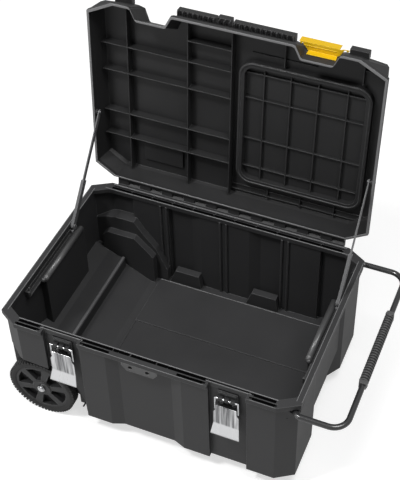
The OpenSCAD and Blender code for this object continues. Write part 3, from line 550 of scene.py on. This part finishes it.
frame_ring = bmesh.new()
for x0, x1, y0, y1, radius, width, deep in FRAME_RINGS:
    loops = []
    for inset in (0, width):
        circle = bmesh.ops.create_circle(
            frame_ring, segments=CORNER_SEGMENTS, radius=radius - inset,
            matrix=Matrix.Rotation(math.pi / CORNER_SEGMENTS, 4, "Z"))["verts"]
        for vert in circle:
            vert.co.x += (x1 - radius) if vert.co.x > 0 else (x0 + radius)
            vert.co.y += (y1 - radius) if vert.co.y > 0 else (y0 + radius)
            vert.co.z = INNER_ROOF - deep
        loops += list({edge for vert in circle for edge in vert.link_edges})
    raise_band(frame_ring, loops, deep + 1)
round_edges(frame_ring, 0.9)
finish_piece("lid_frame", frame_ring, "lid", lid_plastic, turn=LID_OPEN)


# The lid's outside carries a broken grip ridge over a comb of short ribs, the
# knuckles on the hinge pin, bosses for the straps and a field sunk in the
# roof, all moulded with it. Each grip bar: x limits, and how far it stands out.
GRIP_BARS = ((-142, -51, 6), (-47, -15, 10), (-11, 130, 6), (250, 292, 6), (-292, -250, 6))
BAR_FRONT, BAR_REST = -230, (-218, 298, 314)
COMB_TEETH, COMB_START, COMB_STEP, TOOTH = 23, -138, 12, 2.5
COMB_REST = (-238.5, -222, 288, 299)
KNUCKLES, KNUCKLE_START, KNUCKLE_PITCH = 10, -290, 58
KNUCKLE_R, KNUCKLE_LONG, KNUCKLE_GAP = 7, 28.4, 0.3
LEAF = ((243.5, 268), (245, 268), (255, 271), (255, 285), (243.5, 285))
BOSS_R, BOSS_LONG = 6.5, 8
BOSS_PLACE = (339.5, 68.3, 270.6)
ROOF_FIELD = (-286, 286, -168, 196, 318, 322)
FIELD_EDGE, FIELD_SUNK = 16, -0.9


def rod(shape, place, axis, radius, length, segments=28, tip=None):
    """Round bar along an axis, centred on a place; tip is its far radius."""
    turn = {"x": (math.pi / 2, "Y"), "y": (math.pi / 2, "X"), "z": (0, "Z")}[axis]
    bmesh.ops.create_cone(shape, cap_ends=True, segments=segments, radius1=radius,
                          radius2=radius if tip is None else tip, depth=length,
                          matrix=Matrix.Translation(place) @ Matrix.Rotation(turn[0], 4, turn[1]))


ridge = bmesh.new()
for x0, x1, out in GRIP_BARS:
    block(ridge, x0, x1, BAR_FRONT - out, *BAR_REST)
for step in range(COMB_TEETH):
    x = COMB_START + COMB_STEP * step
    block(ridge, x, x + TOOTH, *COMB_REST)
for step in range(KNUCKLES):
    start = KNUCKLE_START + (step + 0.5) * KNUCKLE_PITCH + KNUCKLE_GAP
    profile(ridge, LEAF, "x", start, start + KNUCKLE_LONG)
    rod(ridge, (start + KNUCKLE_LONG / 2, HINGE_Y, HINGE_Z), "x", KNUCKLE_R, KNUCKLE_LONG)
for side in (-1, 1):
    rod(ridge, (side * BOSS_PLACE[0], *BOSS_PLACE[1:]), "x", BOSS_R, BOSS_LONG)
field_faces = {face for vert in block(ridge, *ROOF_FIELD) for face in vert.link_faces}
field_top = [face for face in field_faces
             if all(vert.co.z > ROOF_FIELD[-1] - 1 for vert in face.verts)]
bmesh.ops.inset_region(ridge, faces=field_top, thickness=FIELD_EDGE, depth=FIELD_SUNK)
round_edges(ridge, 0.6, sharpest=0.7)
finish_piece("lid_ridge", ridge, "lid", lid_plastic, turn=LID_OPEN)


# The keeper plate is bent steel painted yellow, riveted across the lid's
# right notch, with a hook along its outer edge. Its section is x and y, and
# the heights are above the lid's foot.
YELLOW, YELLOW_EDGE = (0.66, 0.41, 0.002), (0.9, 0.66, 0.04)
KEEPER = ((141, -228), (229, -228), (238, -231), (250, -231), (250, -229.4), (239, -229),
          (227, -209.2), (160, -209.2), (147, -226))
KEEPER_LOW, KEEPER_TOP = 35.4, 37
KEEPER_BENDS = ((139, 229, -229.6, -228, KEEPER_LOW, 54), (161, 226, -210.8, -209.2, 20, 36),
                (150, 222, -222.5, -220.5, 34.6, 35.6))
RIVETS = ((144, -226.5), (246, -230))
RIVET_R, RIVET_TIP, RIVET_HIGH, RIVET_Z = 3, 2.2, 1.6, 34.8

yellow = moulded("yellow_paint", YELLOW, YELLOW_EDGE, rough=0.4, grain_scale=300.0,
                 grain=0.00002, smudge=0.15, radius=0.0008, shine=0.5)
keeper = bmesh.new()
profile(keeper, KEEPER, "z", LID_FOOT + KEEPER_LOW, LID_FOOT + KEEPER_TOP)
for *flat_limits, low, high in KEEPER_BENDS:
    block(keeper, *flat_limits, LID_FOOT + low, LID_FOOT + high)
for x, y in RIVETS:
    rod(keeper, (x, y, LID_FOOT + RIVET_Z), "z", RIVET_R, RIVET_HIGH, segments=20, tip=RIVET_TIP)
round_edges(keeper, 0.5)
finish_piece("keeper_plate", keeper, "lid", yellow, turn=LID_OPEN,
             stands_for=("front_plate", "plate_rivets"))


# Latches: a black bracket screwed to the front wall and a bright wire loop
# that turns in it. The wire, the wheels' caps, and all pins, screws and rivets
# are steel, plated or bare.
CLOUD_SCALE, CLOUD_DULLER, CLOUD_ROUGH = 35.0, 0.86, 0.14
DRAWN_SCALE, DRAWN_STRENGTH, DRAWN_DEEP = (900.0, 900.0, 40.0), 0.25, 0.00004
PLATED_EDGE = 0.0006
ZINC, STEEL, DULL_STEEL = (0.58, 0.585, 0.595), (0.5, 0.5, 0.51), (0.16, 0.16, 0.165)
BRACKET_BLACK, BRACKET_EDGE = (0.022, 0.022, 0.023), (0.1, 0.1, 0.1)


def plated(name, colour, rough, brush):
    """Plated metal with fine streaks and dull patches."""
    material, value = new_material(name)
    place = value.node("ShaderNodeTexCoord", out="Object")
    cloud = noise(place, CLOUD_SCALE, 4.0)
    stretched = value.node("ShaderNodeMapping", inputs={"Vector": place, "Scale": DRAWN_SCALE})
    streak = noise(stretched, 1.0, 2.0)
    rounded = value.node("ShaderNodeBevel", BEVEL_RAYS, {"Radius": PLATED_EDGE})
    grit = value.node("ShaderNodeBump", inputs={
        "Strength": DRAWN_STRENGTH, "Distance": DRAWN_DEEP, "Height": streak,
        "Normal": rounded})
    low = tuple(channel * CLOUD_DULLER for channel in colour)
    uneven = (cloud - 0.5) * CLOUD_ROUGH + (streak - 0.5) * brush
    close_material(value, value.node("ShaderNodeBsdfPrincipled", inputs={
        "Base Color": cloud.spread(*CLOUDY).blend(low, colour), "Metallic": 1.0,
        "Roughness": rough + uneven, "Normal": grit}))
    return material


dress(plated("bright_zinc", ZINC, 0.24, 0.16), "bail_left", "bail_right", "axle_caps")
dress(moulded("bracket_black", BRACKET_BLACK, BRACKET_EDGE, rough=0.45),
      "latch_base_left", "latch_base_right")
dress(plated("drawn_steel", STEEL, 0.38, 0.1),
      "hinge_pin", "axles", "track_rivets", "latch_screws")
dress(plated("dull_steel", DULL_STEEL, 0.5, 0.1), "strap_pins")


# Each latch plate is pressed from zinc plated steel and hangs on the wire. It
# widens below the wire, has a field of pressed ribs, and ends in a bright lip
# that flares out for the fingers. The field is painted darker as a painted
# dark reflection, crossed by lighter streaks that are painted glints.
PAINTED_REFLECTION_DARK, PRESSED_LIGHT = (0.2, 0.202, 0.208), (0.74, 0.745, 0.755)
PRESSED_SCALE = (190.0, 1.0, 7.0)
FIELD_FADE, PAINTED_GLINTS = (0.145, 0.150), (0.42, 0.66)
PRESSED_ROUGH, PRESSED_UNEVEN = 0.3, 0.2
PLATE_X, PLATE_Y = 194, -244.7
PLATE_TOP, PLATE_LONG, PLATE_THICK = 209, 91, 0.0015
NECK_HALF, SHOULDER_Z, SHOULDER_HIGH, SHOULDER_OUT = 24, 192, 7, 5
LIP_Z, LIP_LONG, LIP_OUT, LIP_FLARE = 146, 28, 4, 0.33
PRESSED_Z, PRESSED_DEEP, PRESSED_RIBS = (150, 194), 1.5, 3.5

pressed_zinc, value = new_material("pressed_zinc")
place = value.node("ShaderNodeTexCoord", out="Object")
up = value.node("ShaderNodeSeparateXYZ", inputs={"Vector": place}, out="Z")
stretched = value.node("ShaderNodeMapping", inputs={"Vector": place, "Scale": PRESSED_SCALE})
drawn_lines_and_glints = noise(stretched, 1.0, 3.0)
# Painted reflection: above 150 mm the colour turns dark, with lighter streaks as painted glints.
painted_reflection_tone = 1.0 - up.spread(*FIELD_FADE) * (1.0 - drawn_lines_and_glints.spread(*PAINTED_GLINTS))
close_material(value, value.node("ShaderNodeBsdfPrincipled", inputs={
    "Base Color": painted_reflection_tone.blend(PAINTED_REFLECTION_DARK, PRESSED_LIGHT), "Metallic": 1.0,
    "Roughness": PRESSED_ROUGH + (drawn_lines_and_glints - 0.5) * PRESSED_UNEVEN,
    "Normal": value.node("ShaderNodeBevel", BEVEL_RAYS, {"Radius": PLATED_EDGE})}))
for side, word in ((-1, "left"), (1, "right")):
    latch = bmesh.new()
    bmesh.ops.create_grid(latch, x_segments=36, y_segments=28, size=0.5)
    for vert in latch.verts:
        across = vert.co.x * 2
        height = PLATE_TOP - (0.5 - vert.co.y) * PLATE_LONG
        below_lip = max(0, LIP_Z - height)
        half, press = NECK_HALF, 0
        if height <= SHOULDER_Z:
            half += SHOULDER_OUT * min(1, (SHOULDER_Z - height) / SHOULDER_HIGH)
            half += LIP_OUT * below_lip / LIP_LONG
        if PRESSED_Z[0] < height < PRESSED_Z[1]:
            wave = max(0.0, math.cos(across * PRESSED_RIBS * math.pi))
            press = wave ** 3 * PRESSED_DEEP
        vert.co = (side * PLATE_X + across * half, PLATE_Y - press - below_lip * LIP_FLARE, height)
    plate = finish_piece("latch_front_" + word, latch, "catch_" + word,
                         pressed_zinc, smooth=True, stands_for=("latch_plate_" + word,))
    thick = plate.modifiers.new("thick", "SOLIDIFY")
    thick.thickness = PLATE_THICK
    thick.offset = 0


# Stays: a grooved rail riveted inside each end wall, a shoe that slides in
# it, and a dark sleeve that slides over a flat strap pinned in the lid. The
# rail's face is round, and glossy where the shoe runs.
TRACK_BLACK, TRACK_EDGE = (0.04, 0.04, 0.041), (0.22, 0.22, 0.22)
STAY_BLACK, STAY_EDGE = (0.12, 0.12, 0.123), (0.34, 0.34, 0.345)
RAIL_BLACK, RAIL_EDGE = (0.07, 0.07, 0.071), (0.2, 0.2, 0.2)
RAIL_PLACE = (318, 9, 236.6)
RAIL_R, RAIL_LONG, RAIL_SEGMENTS = 7.2, 176, 36

dress(moulded("track_plastic", TRACK_BLACK, TRACK_EDGE, rough=0.28, shine=0.5),
      "track_left", "track_right")
dress(moulded("stay_plastic", STAY_BLACK, STAY_EDGE, rough=0.36, radius=0.0018),
      "sleeve_left", "sleeve_right", "slider_left", "slider_right", "strap_left", "strap_right")
rails = bmesh.new()
for side in (-1, 1):
    x, y, z = side * RAIL_PLACE[0], *RAIL_PLACE[1:]
    rod(rails, (x, y, z), "y", RAIL_R, RAIL_LONG, segments=RAIL_SEGMENTS)
    bmesh.ops.create_uvsphere(rails, u_segments=RAIL_SEGMENTS, v_segments=RAIL_SEGMENTS // 2,
                              radius=RAIL_R, matrix=Matrix.Translation((x, y - RAIL_LONG / 2, z)))
finish_piece("rail_rounds", rails, "tub",
             moulded("rail_plastic", RAIL_BLACK, RAIL_EDGE, rough=0.33, shine=0.5), smooth=True)


# Wheels: a black spoked hub in a solid rubber tyre with two rows of blocks,
# pushed on a fixed axle and held by a bright cap.
RUBBER, RUBBER_EDGE = (0.020, 0.020, 0.020), (0.06, 0.06, 0.06)
HUB_BLACK, HUB_EDGE = (0.026, 0.026, 0.027), (0.12, 0.12, 0.12)
WHEEL_X, WHEEL_Z = -268, 44
TYRE_OUT, TYRE_HALF = 238, 12.5
# Half of the tyre's section: radius, and distance in from its side
TYRE_SECTION = ((66.2, 3), (70, 0.6), (75, 0), (79.5, 2.5), (81.2, 7))
TYRE_STEPS = 96
TREADS, TREAD_HALF = 60, 2.6
TREAD_R = (76.5, 82.7)
TREAD_ROWS = (1.0 - TYRE_HALF, 0.8)
TREAD_ACROSS = TYRE_HALF - 1.8

rubber = moulded("rubber", RUBBER, RUBBER_EDGE, rough=0.62)
dress(moulded("hub_plastic", HUB_BLACK, HUB_EDGE, rough=0.45), "hub_front", "hub_rear")
for side, word in ((-1, "front"), (1, "rear")):
    tyre = bmesh.new()
    middle = side * (TYRE_OUT - TYRE_HALF)
    section = [(radius, depth - TYRE_HALF) for radius, depth in TYRE_SECTION]
    section += [(radius, -across) for radius, across in reversed(section)]
    ring = [tyre.verts.new((WHEEL_X + radius, middle + across, WHEEL_Z))
            for radius, across in section]
    bmesh.ops.spin(tyre, geom=ring + loop_edges(tyre, ring), cent=(WHEEL_X, 0, WHEEL_Z),
                   axis=(0, 1, 0), dvec=(0, 0, 0), angle=math.tau, steps=TYRE_STEPS,
                   use_merge=True, use_duplicate=False)
    for tread in range(TREADS):
        for row, start in enumerate(TREAD_ROWS):
            y = middle + start
            corners = block(tyre, *TREAD_R, y, y + TREAD_ACROSS, -TREAD_HALF, TREAD_HALF)
            angle = (tread + row / 2) * math.tau / TREADS
            bmesh.ops.rotate(tyre, verts=corners, cent=(0, 0, 0),
                             matrix=Matrix.Rotation(angle, 3, "Y"))
            bmesh.ops.translate(tyre, verts=corners, vec=(WHEEL_X, 0, WHEEL_Z))
    finish_piece("tyre_tread_" + word, tyre, "wheel_" + word, rubber,
                 stands_for=("tyre_" + word,))


# Tow handle: a bent steel tube painted black that folds down beside the end
# wall, with a moulded rubber grip on it. The grip has close finger ribs on a
# thinner core, between two tapered ends. The ribs are painted lighter as a
# painted highlight, and the core near black as painted shade between them.
TOW_BLACK, TOW_EDGE = (0.022, 0.022, 0.023), (0.06, 0.06, 0.06)
GRIP_HIGHLIGHT_GREY, GRIP_EDGE = (0.075, 0.075, 0.076), (0.24, 0.24, 0.24)
CORE_PAINTED_SHADE, CORE_EDGE = (0.015, 0.015, 0.015), (0.03, 0.03, 0.03)
TOW_X, TOW_Z = 447, 238
GRIP_HALF = 107
FINGER_RIBS, FINGER_START, FINGER_STEP = 28, -94.5, 7
FINGER_R, FINGER_LONG = 10.5, 3.4
END_HALF, END_MIDDLE = 5, GRIP_HALF - 5
END_IN, END_OUT, END_Z = 11, 9, 9.5
END_TAPER = 0.8
CORE_R, CORE_LONG = 8.3, 200
CORE_X = TOW_X - 0.5

dress(moulded("tow_paint", TOW_BLACK, TOW_EDGE, rough=0.2, grain_scale=500.0, shine=0.8),
      "tow_tube")
grip = bmesh.new()
for step in range(FINGER_RIBS):
    rod(grip, (TOW_X - 1, FINGER_START + step * FINGER_STEP, TOW_Z), "y", FINGER_R, FINGER_LONG)
for end in (-1, 1):
    corners = block(grip, TOW_X - END_IN, TOW_X + END_OUT, end * END_MIDDLE - END_HALF,
                    end * END_MIDDLE + END_HALF, TOW_Z - END_Z, TOW_Z + END_Z)
    for vert in corners:
        if abs(vert.co.y) > GRIP_HALF - 1:
            vert.co.x = CORE_X + (vert.co.x - CORE_X) * END_TAPER
round_edges(grip, 0.8)
finish_piece("grip_ribs", grip, "tow_handle",
             moulded("grip_rubber", GRIP_HIGHLIGHT_GREY, GRIP_EDGE, rough=0.42, radius=0.0008, shine=0.4),
             stands_for=("tow_grip",))
core = bmesh.new()
rod(core, (CORE_X, 0, TOW_Z), "y", CORE_R, CORE_LONG)
finish_piece("grip_core", core, "tow_handle",
             moulded("grip_core_painted_shade", CORE_PAINTED_SHADE, CORE_EDGE, rough=0.7))
